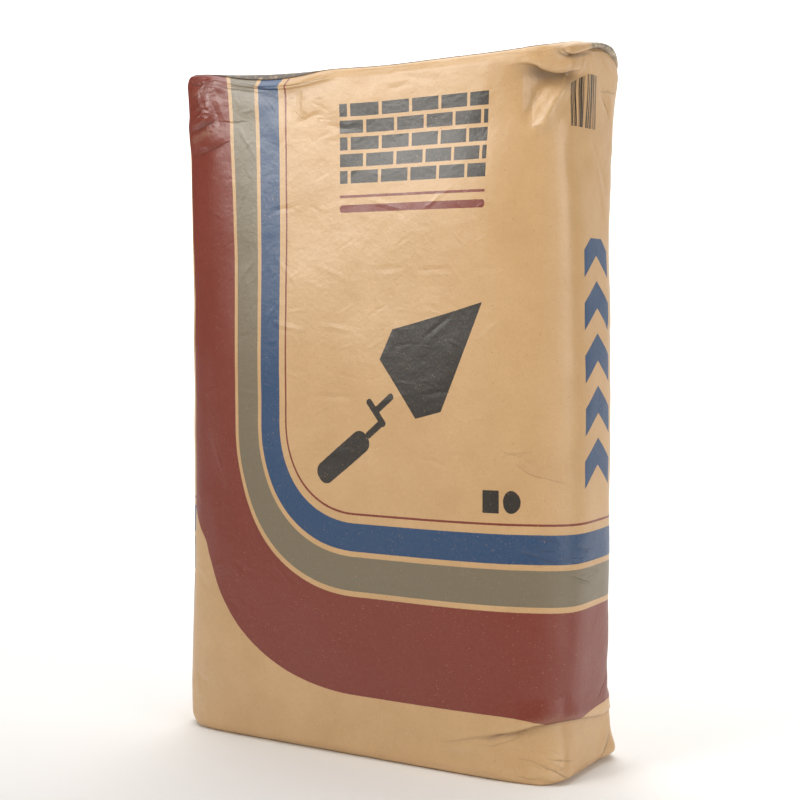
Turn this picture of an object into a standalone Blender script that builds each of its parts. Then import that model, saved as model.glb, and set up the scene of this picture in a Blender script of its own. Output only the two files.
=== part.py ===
# Filled block-bottom valve sack of cement, standing on its lower end.
# Metres, +Z up. The broad front faces -Y and the valve is at the top of the +X side.

import bpy
import bmesh
from math import exp
from mathutils import Matrix, Vector

# Main sizes of the filled sack
HALF_WIDTH = 0.209
HALF_DEPTH = 0.0745
HEIGHT = 0.630
BELLY_WIDTH = 0.0040
BELLY_DEPTH = 0.0035
BELLY_LEVEL = 0.44
BELLY_SPREAD = 0.30
SIDE_TUCK = 0.0045
CORNER_CUT_END = 0.100
CORNER_CUT_MIDDLE = 0.175
MIDDLE_FULLNESS = 0.7

# Rolled edges round the two folded ends
ROLL_WIDTH = 0.014
ROLL_DEPTH = 0.008
ROLL_HEIGHT = 0.010

# Paper and glued parts
WALL = 0.0004
PATCH_THICKNESS = 0.0003
GAP = 0.0003
PATCH_HALF_LENGTH = 0.194
PATCH_HALF_WIDTH = 0.062

# Valve: a flat sleeve in a slit at the top of the right side
SLEEVE_INNER_END = 0.080
SLEEVE_HALF_WIDTH = 0.042
SLEEVE_WALL = 0.0003
SLEEVE_THICKNESS = 0.0013
SLEEVE_DEPTH = 0.0008
MOUTH_HALF_WIDTH = 0.046
MOUTH_LINE = 0.620
MOUTH_MIDDLE_LINE = 0.626
MOUTH_GAP = 0.0026
MOUTH_ARCH = 0.0115
MOUTH_REACH = 0.0045
LIP_RISE = 0.0020
LIP_SETBACK = 0.0006
ARCH_START = 0.125
FILL_BEHIND_MOUTH = 0.008

# Upper rim: higher at both corners, dipping at the left of the front
RIM_LOW_POINT = 0.020
RIM_REACH = 0.190
RIM_LEFT_RISE = 0.0075
RIM_LEFT_CURVE = 1.6
RIM_RIGHT_RISE = 0.0035
RIM_RIGHT_CURVE = 1.3
RIM_FADE = 0.150
CROWN = 0.0050
DIP_CENTRE = -0.090
DIP_SPREAD = 0.038
DIP_DEPTH = 0.0080
DIP_FADE = 0.035
DIP_BACK = 0.0149

# Dents: centre, reach along each axis, and the push at the centre
DENTS = (
    (Vector((0.204, -0.070, 0.611)), Vector((0.026, 0.034, 0.009)), Vector((-0.0045, 0.0060, 0.0))),
    (Vector((0.206, -0.030, 0.545)), Vector((0.014, 0.018, 0.032)), Vector((-0.0030, 0.0015, 0.0))),
    (Vector((0.060, -0.076, 0.575)), Vector((0.110, 0.030, 0.030)), Vector((0.0, 0.0020, 0.0))),
    (Vector((-0.190, -0.070, 0.570)), Vector((0.022, 0.030, 0.030)), Vector((0.0030, 0.0030, 0.0))),
)

# Lower right corner, folded in under an overhanging crease
FOLD_LEVEL = 0.053
FOLD_START = 0.140
FOLD_FULL = 0.195
FOLD_BACK = 0.030
FOLD_RECESS_WIDTH = 0.0050
FOLD_RECESS_DEPTH = 0.0055
FOLD_HANG = 0.0030
FOLD_HANG_RISE = 0.006
FOLD_HANG_SPREAD = 0.014
FOLD_SIDE_SHARE = 0.5
FOLD_TURN = 0.010
FOLD_FOOT = 0.006
FOLD_FOOT_TOP = 0.030

# Lines that divide the box before it is shaped, each list from its middle or foot outwards
WIDTH_LINES = (0.0, 0.045, SLEEVE_INNER_END, 0.110, 0.140, 0.168, PATCH_HALF_LENGTH, 0.203)
DEPTH_LINES = (0.0, 0.022, SLEEVE_HALF_WIDTH, MOUTH_HALF_WIDTH, PATCH_HALF_WIDTH, 0.070)
HEIGHT_LINES = (0.004, 0.012, 0.028, 0.046, 0.058, 0.085, 0.130, 0.190, 0.255, 0.325,
                0.395, 0.455, 0.510, 0.555, 0.585, 0.602, 0.611, MOUTH_LINE, MOUTH_MIDDLE_LINE)
TINY = 0.00001

COLOURS = {
    "cement_fill": ((0.42, 0.42, 0.40, 1.0), 0.95),
    "paper_sack": ((0.58, 0.40, 0.23, 1.0), 0.78),
    "top_end_patch": ((0.56, 0.39, 0.23, 1.0), 0.80),
    "bottom_end_patch": ((0.54, 0.37, 0.21, 1.0), 0.80),
    "valve_sleeve": ((0.60, 0.49, 0.36, 1.0), 0.82),
}


def ease(value, start, end):
    """Smooth step from 0 at start to 1 at end."""
    part = min(1.0, max(0.0, (value - start) / (end - start)))
    return part * part * (3.0 - 2.0 * part)


def bell(distance, reach):
    """Smooth bump, 1 at no distance and near 0 past two reaches."""
    return exp(-(distance / reach) ** 2)


def roll_edges(point):
    """Round the box's edges with one ellipsoid roll."""
    rolls = Vector((ROLL_WIDTH, ROLL_DEPTH, ROLL_HEIGHT))
    centre = Vector((0.0, 0.0, HEIGHT / 2))
    halves = Vector((HALF_WIDTH, HALF_DEPTH, HEIGHT / 2))
    offset = point - centre
    core = Vector(min(h - r, max(r - h, o)) for o, h, r in zip(offset, halves, rolls))
    steps = Vector((o - c) / r for o, c, r in zip(offset, core, rolls))
    steps.normalize()
    return centre + core + Vector(s * r for s, r in zip(steps, rolls))


def rim_rise(x):
    """Height of the upper rim over its lowest point."""
    if x < RIM_LOW_POINT:
        return RIM_LEFT_RISE * ((RIM_LOW_POINT - x) / RIM_REACH) ** RIM_LEFT_CURVE
    return RIM_RIGHT_RISE * ((x - RIM_LOW_POINT) / RIM_REACH) ** RIM_RIGHT_CURVE


def mouth_arch(x, y):
    """Lift of the upper end over the valve, an arch across the right side."""
    across = max(0.0, 1.0 - (y / MOUTH_HALF_WIDTH) ** 2)
    return MOUTH_ARCH * ease(x, ARCH_START, HALF_WIDTH) * across


def shape_point(box_point):
    """Carry a point of the plain box to its place on the filled sack."""
    point = roll_edges(box_point)
    level = min(1.0, max(0.0, point.z / HEIGHT))
    middle = (4.0 * level * (1.0 - level)) ** MIDDLE_FULLNESS
    belly = bell(level - BELLY_LEVEL, BELLY_SPREAD)

    # Round the standing corners, more so half-way up
    cut = CORNER_CUT_END + (CORNER_CUT_MIDDLE - CORNER_CUT_END) * middle
    power = 1.0 / cut - 2.0
    a = abs(point.x) / HALF_WIDTH
    b = abs(point.y) / HALF_DEPTH
    point.x *= 1.0 - cut * a * b ** power
    point.y *= 1.0 - cut * b * a ** power

    # Belly in the front, back and sides
    point.x *= 1.0 + (BELLY_WIDTH * belly - SIDE_TUCK * middle * b ** 4) / HALF_WIDTH
    point.y *= 1.0 + BELLY_DEPTH * belly * (1.0 - a ** 4) / HALF_DEPTH

    # Rim, crown and the arch over the valve
    upper = ease(box_point.z, HEIGHT - RIM_FADE, HEIGHT)
    top = ease(box_point.z, MOUTH_LINE - TINY, HEIGHT)
    crown = CROWN * (1.0 - a * a) * (1.0 - b * b) * top
    front = ease(-box_point.y, -DIP_BACK, HALF_DEPTH)
    dip = DIP_DEPTH * bell(point.x - DIP_CENTRE, DIP_SPREAD) * front
    dip *= ease(box_point.z, HEIGHT - DIP_FADE, HEIGHT)
    point.z += rim_rise(point.x) * upper + crown - dip + mouth_arch(point.x, point.y) * top

    for centre, reach, push in DENTS:
        spread = Vector((p - c) / r for p, c, r in zip(point, centre, reach))
        point += push * exp(-spread.length_squared)

    # Lower right corner tucked in below its crease
    tuck = ease(point.x, FOLD_START, FOLD_FULL) * (1.0 - ease(point.y, FOLD_BACK, HALF_DEPTH))
    under = ease(FOLD_LEVEL - point.z, 0.0, FOLD_TURN) * ease(point.z, FOLD_FOOT, FOLD_FOOT_TOP)
    over = bell(point.z - FOLD_LEVEL - FOLD_HANG_RISE, FOLD_HANG_SPREAD)
    point.x += tuck * (FOLD_HANG * over * FOLD_SIDE_SHARE - FOLD_RECESS_WIDTH * under)
    point.y += tuck * (FOLD_RECESS_DEPTH * under - FOLD_HANG * over) * b ** 4
    return point


def on_mouth(box_point, height):
    """True for a point of the box on one lip of the valve mouth."""
    return (box_point.x > HALF_WIDTH - TINY and abs(box_point.z - height) < TINY
            and abs(box_point.y) < MOUTH_HALF_WIDTH + TINY)


def upper_lip(y):
    """Place of the upper lip of the mouth at one point across the side."""
    point = shape_point(Vector((HALF_WIDTH, y, HEIGHT)))
    point.x += MOUTH_REACH
    point.z += LIP_RISE
    return point


def sack_point(box_point):
    """Place of a point of the sack's outer face, with the two lips of the mouth."""
    if on_mouth(box_point, HEIGHT):
        return upper_lip(box_point.y)
    if on_mouth(box_point, MOUTH_LINE):
        return upper_lip(box_point.y) - Vector((LIP_SETBACK, 0.0, MOUTH_GAP))
    if on_mouth(box_point, MOUTH_MIDDLE_LINE):
        return upper_lip(box_point.y) - Vector((LIP_SETBACK, 0.0, MOUTH_GAP)) / 2
    return shape_point(box_point)


def divided_box():
    """Plain box of the sack's size, scored along the named lines."""
    bm = bmesh.new()
    bmesh.ops.create_cube(bm, size=1.0)
    bmesh.ops.scale(bm, vec=(2 * HALF_WIDTH, 2 * HALF_DEPTH, HEIGHT), verts=bm.verts)
    bmesh.ops.translate(bm, vec=(0.0, 0.0, HEIGHT / 2), verts=bm.verts)
    cuts = [(Vector((side * x, 0.0, 0.0)), Vector((1.0, 0.0, 0.0)))
            for x in WIDTH_LINES for side in (-1, 1) if x > 0.0 or side > 0]
    cuts += [(Vector((0.0, side * y, 0.0)), Vector((0.0, 1.0, 0.0)))
             for y in DEPTH_LINES for side in (-1, 1) if y > 0.0 or side > 0]
    cuts += [(Vector((0.0, 0.0, z)), Vector((0.0, 0.0, 1.0))) for z in HEIGHT_LINES]
    for place, normal in cuts:
        geometry = bm.verts[:] + bm.edges[:] + bm.faces[:]
        bmesh.ops.bisect_plane(bm, geom=geometry, dist=TINY, plane_co=place, plane_no=normal)
    bmesh.ops.triangulate(bm, faces=bm.faces, quad_method='ALTERNATE')
    return bm


def face_on(face, axis, value):
    """True for a face of the box that lies in one plane."""
    return all(abs(vert.co[axis] - value) < TINY for vert in face.verts)


def inside(face, x_low, x_high, y_half):
    """True for a face of an end that lies within a rectangle."""
    return all(x_low - TINY < vert.co.x < x_high + TINY and abs(vert.co.y) < y_half + TINY
               for vert in face.verts)


def keep_faces(bm, faces):
    """Delete every face but these."""
    kept = set(faces)
    bmesh.ops.delete(bm, geom=[face for face in bm.faces if face not in kept], context='FACES')


def move_along_normals(bm, distance):
    """Move the whole surface out by an even distance, or in by a negative one."""
    bm.normal_update()
    moves = [vert.normal * distance * vert.calc_shell_factor() for vert in bm.verts]
    for vert, move in zip(bm.verts, moves):
        vert.co += move


def finish(bm, name):
    """Make the named object, with its own material."""
    mesh = bpy.data.meshes.new(name)
    bm.to_mesh(mesh)
    bm.free()
    node = bpy.data.objects.new(name, mesh)
    bpy.context.collection.objects.link(node)
    colour, roughness = COLOURS[name]
    material = bpy.data.materials.new(name)
    material.use_nodes = True
    shader = material.node_tree.nodes["Principled BSDF"]
    shader.inputs["Base Color"].default_value = colour
    shader.inputs["Roughness"].default_value = roughness
    shader.inputs["Metallic"].default_value = 0.0
    mesh.materials.append(material)
    return node


def add_wall(node, thickness, side):
    """Give a sheet its thickness, out of its face for side 1 and into it for side -1."""
    wall = node.modifiers.new("wall", 'SOLIDIFY')
    wall.thickness = thickness
    wall.offset = side
    wall.use_even_offset = True
    wall.use_quality_normals = True


def make_paper_sack():
    """Tube and folded ends as one sheet, open at the valve mouth."""
    bm = divided_box()
    mouth = [face for face in bm.faces if face_on(face, 0, HALF_WIDTH)
             and all(vert.co.z > MOUTH_LINE - TINY and abs(vert.co.y) < MOUTH_HALF_WIDTH + TINY
                     for vert in face.verts)]
    bmesh.ops.delete(bm, geom=mouth, context='FACES')
    for vert in bm.verts:
        vert.co = sack_point(vert.co)
    add_wall(finish(bm, "paper_sack"), WALL, -1.0)


def make_cement_fill():
    """Packed powder that fills the sack, hollowed under the sleeve."""
    bm = divided_box()
    boxes = [vert.co.copy() for vert in bm.verts]
    for vert, box_point in zip(bm.verts, boxes):
        vert.co = shape_point(box_point)
    move_along_normals(bm, -(WALL + GAP))
    pocket = SLEEVE_THICKNESS + 2 * GAP
    for vert, box_point in zip(bm.verts, boxes):
        near = abs(box_point.y) < MOUTH_HALF_WIDTH + TINY and box_point.x > SLEEVE_INNER_END - TINY
        if near and box_point.z > HEIGHT - TINY:
            vert.co.z -= pocket
        if near and box_point.x > HALF_WIDTH - TINY and box_point.z > MOUTH_LINE - TINY:
            vert.co.x -= FILL_BEHIND_MOUTH
    finish(bm, "cement_fill")


def make_end_patch(name, height):
    """Cover sheet glued over the folds of one end."""
    bm = divided_box()
    sheet = [face for face in bm.faces if face_on(face, 2, height)
             and inside(face, -PATCH_HALF_LENGTH, PATCH_HALF_LENGTH, PATCH_HALF_WIDTH)]
    keep_faces(bm, sheet)
    for vert in bm.verts:
        vert.co = shape_point(vert.co)
    move_along_normals(bm, GAP)
    add_wall(finish(bm, name), PATCH_THICKNESS, 1.0)


def make_valve_sleeve():
    """Flat paper tube that lies under the top end and opens at the mouth."""
    bm = divided_box()
    layer = [face for face in bm.faces if face_on(face, 2, HEIGHT)
             and inside(face, SLEEVE_INNER_END, HALF_WIDTH, SLEEVE_HALF_WIDTH)]
    keep_faces(bm, layer)
    sides = [edge for edge in bm.edges if edge.is_boundary
             and all(abs(vert.co.y) > SLEEVE_HALF_WIDTH - TINY for vert in edge.verts)]
    for vert in bm.verts:
        vert.co = sack_point(vert.co) - Vector((0.0, 0.0, SLEEVE_DEPTH))
    copied = bmesh.ops.duplicate(bm, geom=bm.verts[:] + bm.edges[:] + bm.faces[:])
    lower = [item for item in copied["geom"] if isinstance(item, bmesh.types.BMVert)]
    lower_faces = [item for item in copied["geom"] if isinstance(item, bmesh.types.BMFace)]
    bmesh.ops.translate(bm, vec=(0.0, 0.0, -SLEEVE_THICKNESS), verts=lower)
    bmesh.ops.reverse_faces(bm, faces=lower_faces)
    lower_sides = [copied["edge_map"][edge] for edge in sides]
    for side in (-1.0, 1.0):
        pair = [edge for edge in sides + lower_sides if edge.verts[0].co.y * side > 0.0]
        bmesh.ops.bridge_loops(bm, edges=pair)
    bmesh.ops.triangulate(bm, faces=bm.faces)
    bmesh.ops.recalc_face_normals(bm, faces=bm.faces)
    add_wall(finish(bm, "valve_sleeve"), SLEEVE_WALL, -1.0)


def stand_on_origin(nodes):
    """Move the whole sack so that it stands on the floor, centred over the origin."""
    bpy.context.view_layer.update()
    depsgraph = bpy.context.evaluated_depsgraph_get()
    corners = [Vector(corner) for node in nodes for corner in node.evaluated_get(depsgraph).bound_box]
    low = Vector(min(corner[axis] for corner in corners) for axis in range(3))
    high = Vector(max(corner[axis] for corner in corners) for axis in range(3))
    foot = Vector(((low.x + high.x) / 2, (low.y + high.y) / 2, low.z))
    for node in nodes:
        node.data.transform(Matrix.Translation(-foot))


def main():
    for old in list(bpy.data.objects):
        bpy.data.objects.remove(old, do_unlink=True)
    make_cement_fill()
    make_paper_sack()
    make_end_patch("top_end_patch", HEIGHT)
    make_end_patch("bottom_end_patch", 0.0)
    make_valve_sleeve()
    stand_on_origin(bpy.data.objects[:])


main()
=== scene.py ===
from functools import partial
from math import cos, radians, sin

import bmesh
import bpy
import numpy as np
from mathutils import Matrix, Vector, noise
from mathutils.bvhtree import BVHTree
from mathutils.geometry import delaunay_2d_cdt


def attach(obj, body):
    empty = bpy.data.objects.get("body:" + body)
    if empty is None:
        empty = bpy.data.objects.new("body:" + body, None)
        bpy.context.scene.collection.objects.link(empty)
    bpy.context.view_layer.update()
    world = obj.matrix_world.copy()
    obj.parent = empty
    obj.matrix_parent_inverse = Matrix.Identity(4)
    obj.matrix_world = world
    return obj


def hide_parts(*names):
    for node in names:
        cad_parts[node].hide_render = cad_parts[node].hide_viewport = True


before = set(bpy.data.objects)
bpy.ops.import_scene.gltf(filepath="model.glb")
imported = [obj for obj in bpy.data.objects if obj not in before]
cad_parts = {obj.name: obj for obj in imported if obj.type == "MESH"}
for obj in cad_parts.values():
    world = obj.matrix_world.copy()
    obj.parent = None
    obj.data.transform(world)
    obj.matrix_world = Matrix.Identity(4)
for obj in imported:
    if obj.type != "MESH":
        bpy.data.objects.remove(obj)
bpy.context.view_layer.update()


# The studio
# A pale sweep of painted board and six soft boxes: a low wide key with a honeycomb grid at the
# left front, a small one above it for the top right corner, fills at the right front and the
# right side, one overhead and one on the backdrop.
def linear(hex_colour):
    """Linear colour of an sRGB hex value."""
    parts = [int(hex_colour[i:i + 2], 16) / 255 for i in (1, 3, 5)]
    return [p / 12.92 if p <= 0.04045 else ((p + 0.055) / 1.055) ** 2.4 for p in parts] + [1.0]


def add_node(tree, kind, inputs=(), **settings):
    """Add a shader node with its settings. The dict of inputs holds values, sockets or nodes."""
    node = tree.nodes.new("ShaderNode" + kind)
    for name, value in settings.items():
        setattr(node, name, value)
    for name, value in dict(inputs).items():
        if isinstance(value, bpy.types.Node):
            value = value.outputs[0]
        if isinstance(value, bpy.types.NodeSocket):
            tree.links.new(value, node.inputs[name])
        else:
            node.inputs[name].default_value = value
    return node


def new_material(name):
    """A material with an empty node tree, and the function that adds nodes to it."""
    material = bpy.data.materials.new(name)
    material.use_nodes = True
    material.node_tree.nodes.clear()
    return material, partial(add_node, material.node_tree)


def finish_material(add, surface):
    """Give the material a shader with these inputs, and join it to the output."""
    add("OutputMaterial", {"Surface": add("BsdfPrincipled", surface)})


def new_mesh(name, bm):
    """A mesh from the finished bmesh, which is freed."""
    mesh = bpy.data.meshes.new(name)
    bm.to_mesh(mesh)
    bm.free()
    return mesh


def new_object(name, data):
    """An object with this data, linked into the scene."""
    made = bpy.data.objects.new(name, data)
    bpy.context.scene.collection.objects.link(made)
    return made


scene = bpy.context.scene
scene.view_settings.view_transform = "Standard"

CAMERA_AZIMUTH = radians(30.9)
CAMERA_ELEVATION = radians(3.37)
CAMERA_DISTANCE = 1.435
CAMERA_AIM_RIGHT = 0.008
CAMERA_AIM_HEIGHT = 0.327
FOCAL_PIXELS = 1502.0
IMAGE_PIXELS = 800.0
SENSOR = 36.0

back = Vector((sin(CAMERA_AZIMUTH) * cos(CAMERA_ELEVATION),
               -cos(CAMERA_AZIMUTH) * cos(CAMERA_ELEVATION), sin(CAMERA_ELEVATION)))
right = Vector((cos(CAMERA_AZIMUTH), sin(CAMERA_AZIMUTH), 0.0))
camera_data = bpy.data.cameras.new("camera")
camera_data.sensor_width = SENSOR
camera_data.lens = SENSOR * FOCAL_PIXELS / IMAGE_PIXELS
camera = new_object("camera", camera_data)
camera_aim = right * CAMERA_AIM_RIGHT + Vector((0.0, 0.0, CAMERA_AIM_HEIGHT))
camera.location = camera_aim + back * CAMERA_DISTANCE
camera.rotation_euler = back.to_track_quat("Z", "Y").to_euler()
scene.camera = camera

SWEEP_HALF_WIDTH = 6.0
SWEEP_FRONT = -6.0
SWEEP_BACK = 4.0
SWEEP_HEIGHT = 6.0
SWEEP_RADIUS = 1.5
bm = bmesh.new()
corner = bm.verts.new((-SWEEP_HALF_WIDTH, SWEEP_FRONT, 0.0))
turn = bm.verts.new((-SWEEP_HALF_WIDTH, SWEEP_BACK, 0.0))
top = bm.verts.new((-SWEEP_HALF_WIDTH, SWEEP_BACK, SWEEP_HEIGHT))
line = [bm.edges.new((corner, turn)), bm.edges.new((turn, top))]
across = bmesh.ops.extrude_edge_only(bm, edges=line)
moved = [item for item in across["geom"] if isinstance(item, bmesh.types.BMVert)]
bmesh.ops.translate(bm, vec=(2 * SWEEP_HALF_WIDTH, 0.0, 0.0), verts=moved)
foot = [edge for edge in bm.edges
        if all(vert.co.y == SWEEP_BACK and vert.co.z == 0.0 for vert in edge.verts)]
bmesh.ops.bevel(bm, geom=foot, offset=SWEEP_RADIUS, segments=16, profile=0.5, affect="EDGES", material=-1)
bmesh.ops.recalc_face_normals(bm, faces=bm.faces)
sweep_mesh = new_mesh("sweep", bm)
sweep_mesh.shade_smooth()
sweep = new_object("sweep", sweep_mesh)
material, add = new_material("painted_board")
finish_material(add, {"Base Color": linear("#f6f5f3"), "Roughness": 0.9})
sweep_mesh.materials.append(material)

AMBIENT = 0.09
# Each box: place, aim, size, power in watts, spread of its grid in degrees (180 is none), tint
SOFT_BOXES = (
    ("key", (-0.98, -1.45, 1.00), (0.0, 0.0, 0.60), (1.28, 0.42), 3.7, 70, "#fffdf8"),
    ("upper", (-0.36, -1.09, 1.68), (0.19, -0.06, 0.60), (0.55, 0.40), 0.60, 45, "#fffaf2"),
    ("fill", (1.75, -1.60, 0.75), (0.0, 0.0, 0.32), (1.4, 1.4), 5.2, 180, "#fffaf3"),
    ("side", (2.20, -0.60, 0.90), (0.0, 0.0, 0.40), (1.2, 1.2), 19.0, 180, "#fffaf3"),
    ("overhead", (0.0, 0.4, 3.0), (0.0, 0.0, 0.3), (3.0, 3.0), 54.0, 180, "#ffffff"),
    ("backdrop", (-2.4, 1.3, 3.2), (-2.4, 4.0, 1.4), (4.2, 1.5), 240.0, 180, "#ffffff"),
)
for name, place, aim, size, power, spread, tint in SOFT_BOXES:
    light_data = bpy.data.lights.new(name, "AREA")
    light_data.shape = "RECTANGLE"
    light_data.size, light_data.size_y = size
    light_data.energy = power
    light_data.spread = radians(spread)
    light_data.color = linear(tint)[:3]
    light = new_object(name, light_data)
    light.location = place
    light.rotation_euler = (Vector(place) - Vector(aim)).to_track_quat("Z", "Y").to_euler()

world = bpy.data.worlds.new("studio")
world.use_nodes = True
world.node_tree.nodes["Background"].inputs["Color"].default_value = linear("#ffffff")
world.node_tree.nodes["Background"].inputs["Strength"].default_value = AMBIENT
scene.world = world


# Paper sack
# Two or three plies of brown sack kraft, glued into a tube and folded and pasted into a flat
# block at each end. The powder inside presses it out into a pillow with rolled edges, and
# handling has left soft dents, crushed corners and one deep fold at the foot of the right edge.
HALF_WIDTH = 0.209
HALF_DEPTH = 0.0745
HEIGHT = 0.630
PATCH_SPACE = 0.0006
BELLY_WIDTH = 0.0040
BELLY_DEPTH = 0.0035
BELLY_LEVEL = 0.44
BELLY_SPREAD = 0.30
SIDE_TUCK = 0.0045
CORNER_CUT_END = 0.100
CORNER_CUT_MIDDLE = 0.175
MIDDLE_FULLNESS = 0.7
ROLLS = (0.014, 0.008, 0.010)

RIM_LOW_POINT = 0.020
RIM_REACH = 0.190
RIM_LEFT_RISE = 0.0075
RIM_LEFT_CURVE = 1.6
RIM_RIGHT_RISE = 0.0035
RIM_RIGHT_CURVE = 1.3
RIM_FADE = 0.150
CROWN = 0.0050
CROWN_FADE = 0.020

# The crushed front edge of the upper end: a slanting flat from 620 mm up, widest at the left
CRUSH_CENTRE = -0.088
CRUSH_REACH = 0.072
CRUSH_POINT = (-0.0745, 0.6195)
CRUSH_SLOPE = (-0.604, 0.797)
CRUSH_DEPTH = 0.0105
CRUSH_SOFTNESS = 0.0016
CRUSH_LEVELS = (0.590, 0.612)
CRUSH_DEPTHS = (-0.052, -0.030)

# The valve mouth across the right side: millimetres of y, and at each the lift of the upper
# edge, the height of the slot's roof, its opening and how far the upper lip stands out
MOUTH_Y = (-70, -58, -47, -36, -26, -16, -7, 6, 17, 28, 36, 42, 48, 54, 60, 70)
MOUTH_LIFT = (0.0, 1.6, 4.0, 6.2, 8.2, 10.2, 12.0, 13.8, 14.4, 14.2, 12.4, 10.0, 6.4, 2.6, 0.6, 0.0)
MOUTH_ROOF = (624, 626.5, 629.2, 632.0, 634.6, 637.6, 640.2, 642.4,
              642.4, 640.8, 638.2, 635.4, 631.8, 628, 626, 624)
MOUTH_OPENING = (0.0, 0.1, 0.2, 0.3, 0.6, 1.2, 3.4, 3.0, 2.2, 1.5, 1.2, 0.9, 0.5, 0.1, 0.0, 0.0)
LIP_REACH = (0.0, 0.3, 0.9, 1.4, 1.8, 2.2, 3.0, 3.6, 3.8, 3.8, 3.4, 2.8, 1.8, 0.8, 0.2, 0.0)
MOUTH_FRONT = -0.058
MOUTH_BACK = 0.058
MOUTH_BLEND = 0.009
MOUTH_EDGE = 0.6330
MOUTH_WALL = 0.0008
MOUTH_BOW = 0.035
MOUTH_CLEARING = (0.062, 0.022)
LIP_GREY_REACH = 3.0
LIP_GREY_X = (0.203, 0.207)
LIP_GREY_Y = (-0.022, -0.012)
LIP_GREY_EDGE = 0.001
ARCH_START = 0.120
ARCH_FULL = 0.199
# Lip and slot of the mouth by rows of cells down from the upper edge: outward share of the
# lip's reach, outward millimetres, share of the lip's height over the roof, share of the opening
MOUTH_ROWS = (
    (0.20, -3.2, 1.00, 0.0), (0.60, -1.2, 0.90, 0.0), (0.90, -0.3, 0.74, 0.0), (1.00, 0.0, 0.55, 0.0),
    (1.00, 0.0, 0.36, 0.0), (0.95, 0.0, 0.17, 0.0), (0.60, -0.2, 0.02, 0.0), (0.00, -1.6, 0.06, 0.0),
    (0.00, -1.4, 0.00, -1.0), (0.00, 0.3, 0.00, -1.0), (0.00, 1.0, -0.10, -1.1), (0.00, 1.2, -0.30, -1.2),
)
ROOF_ROW = 7
MOUTH_LAST_ROW = 30
POCKET_STEPS = (0.004, 0.010, 0.020, 0.034, 0.050, 0.068, 0.088, 0.108, 0.128)
POCKET_HALF_WIDTH = 0.049
POCKET_ROOF = 0.0012
POCKET_OPENING = 0.0024
POCKET_LEAST_OPEN = 0.1

# The sack's mesh starts as a cube of cells, which grow smaller towards its edges. A point lies on
# a face of the cube where its coordinate there is past ON_FACE.
CELLS = (136, 60, 204)
CELL_SPREAD = 1.28
ON_FACE = 0.9999

# Soft dents in the corners and the front: centre, reach and push
DENTS = (
    ((0.204, -0.070, 0.611), (0.026, 0.034, 0.009), (-0.0045, 0.0060, 0.0)),
    ((0.206, -0.030, 0.545), (0.014, 0.018, 0.032), (-0.0030, 0.0015, 0.0)),
    ((0.060, -0.076, 0.575), (0.110, 0.030, 0.030), (0.0, 0.0020, 0.0)),
    ((-0.190, -0.070, 0.570), (0.022, 0.030, 0.030), (0.0020, 0.0030, 0.0)),
    ((-0.206, -0.050, 0.602), (0.016, 0.040, 0.014), (0.0004, 0.0020, 0.0)),
    ((0.213, 0.046, 0.010), (0.012, 0.018, 0.012), (0.0050, 0.0, 0.0)),
    ((0.190, -0.060, 0.022), (0.030, 0.022, 0.020), (-0.0015, 0.0040, 0.0)),
    ((-0.209, -0.050, 0.632), (0.022, 0.045, 0.016), (0.0042, 0.0, -0.0015)),
    ((-0.207, -0.062, 0.000), (0.022, 0.040, 0.030), (0.0050, 0.0, 0.0035)),
    ((0.085, -0.077, 0.428), (0.058, 0.040, 0.036), (0.0, 0.0016, 0.0)),
    ((0.150, -0.075, 0.330), (0.036, 0.040, 0.060), (0.0, 0.0010, 0.0)),
    ((-0.020, -0.077, 0.290), (0.070, 0.040, 0.040), (0.0, 0.0012, 0.0)),
)

# Folds along a row of cells, where the paper above hangs over the paper below. Each has the
# level of its row; the reaches below and above within which rows are drawn to it; its course, as
# millimetres round the sheet, millimetres up and share of the fold's depth; its section by rows
# from the fold, as outward and upward millimetres; and its shade: rows below it, reach and share.
FOLDS = (
    (0.042, 0.042, 0.070,
     ((60, 42, 0.0), (98, 30, 0.0), (112, 30, 0.05), (147, 39, 0.14), (168, 43, 0.32),
      (186, 47.5, 0.8), (201, 52.8, 1.0), (208, 55.0, 1.0), (215, 57.6, 1.0), (226, 59.8, 1.0),
      (236, 59.8, 1.0), (248, 58.8, 1.0), (262, 56.8, 0.95), (278, 53.8, 0.85), (306, 49.0, 0.7),
      (325, 48.5, 0.4), (345, 46, 0.0), (380, 42, 0.0)),
     ((9, 0.2, 0.0), (7, 0.7, -0.2), (5, 1.4, -0.8), (4, 1.9, -1.3), (3, 2.3, -2.0), (2, 2.6, -2.9),
      (1, 2.6, -3.8), (0, 1.9, -4.5), (-1, -2.8, -2.0), (-2, -3.6, 0.0), (-3, -3.4, 0.0),
      (-6, -2.6, 0.0), (-9, -1.6, 0.0), (-13, -0.5, 0.0), (-16, 0.0, 0.0)), (1.5, 1.0, 2.0)),
    (0.6020, 0.040, 0.0280,
     ((-240, 602, 0.0), (-200, 623, 0.0), (-190, 626.5, 0.1), (-144, 623.5, 0.25), (-118, 619.5, 0.3),
      (-96, 616.6, 0.3), (-70, 616.4, 0.3), (-50, 618.0, 0.25), (-30, 621.0, 0.2), (-10, 622.0, 0.05),
      (20, 614, 0.0), (140, 610, 0.0), (175, 617, 0.0), (196, 619.5, 0.4), (207, 619.0, 1.2),
      (214, 614.6, 1.5), (220, 613.4, 1.5), (226, 609.5, 1.3), (236, 607.5, 1.0), (246, 603, 0.5),
      (258, 600, 0.0), (300, 602, 0.0)),
     ((7, 0.3, 0.0), (5, 1.0, -0.4), (4, 1.6, -0.9), (3, 2.1, -1.6), (2, 2.3, -2.4), (1, 2.2, -3.2),
      (0, 1.3, -3.8), (-1, -2.6, -1.8), (-2, -4.0, 0.0), (-4, -4.6, 0.0), (-6, -4.2, 0.0),
      (-9, -2.6, 0.0), (-13, -0.6, 0.0), (-16, 0.0, 0.0)), (3.2, 2.6, 0.55)),
)
ROW_PULL = 0.020
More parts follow.
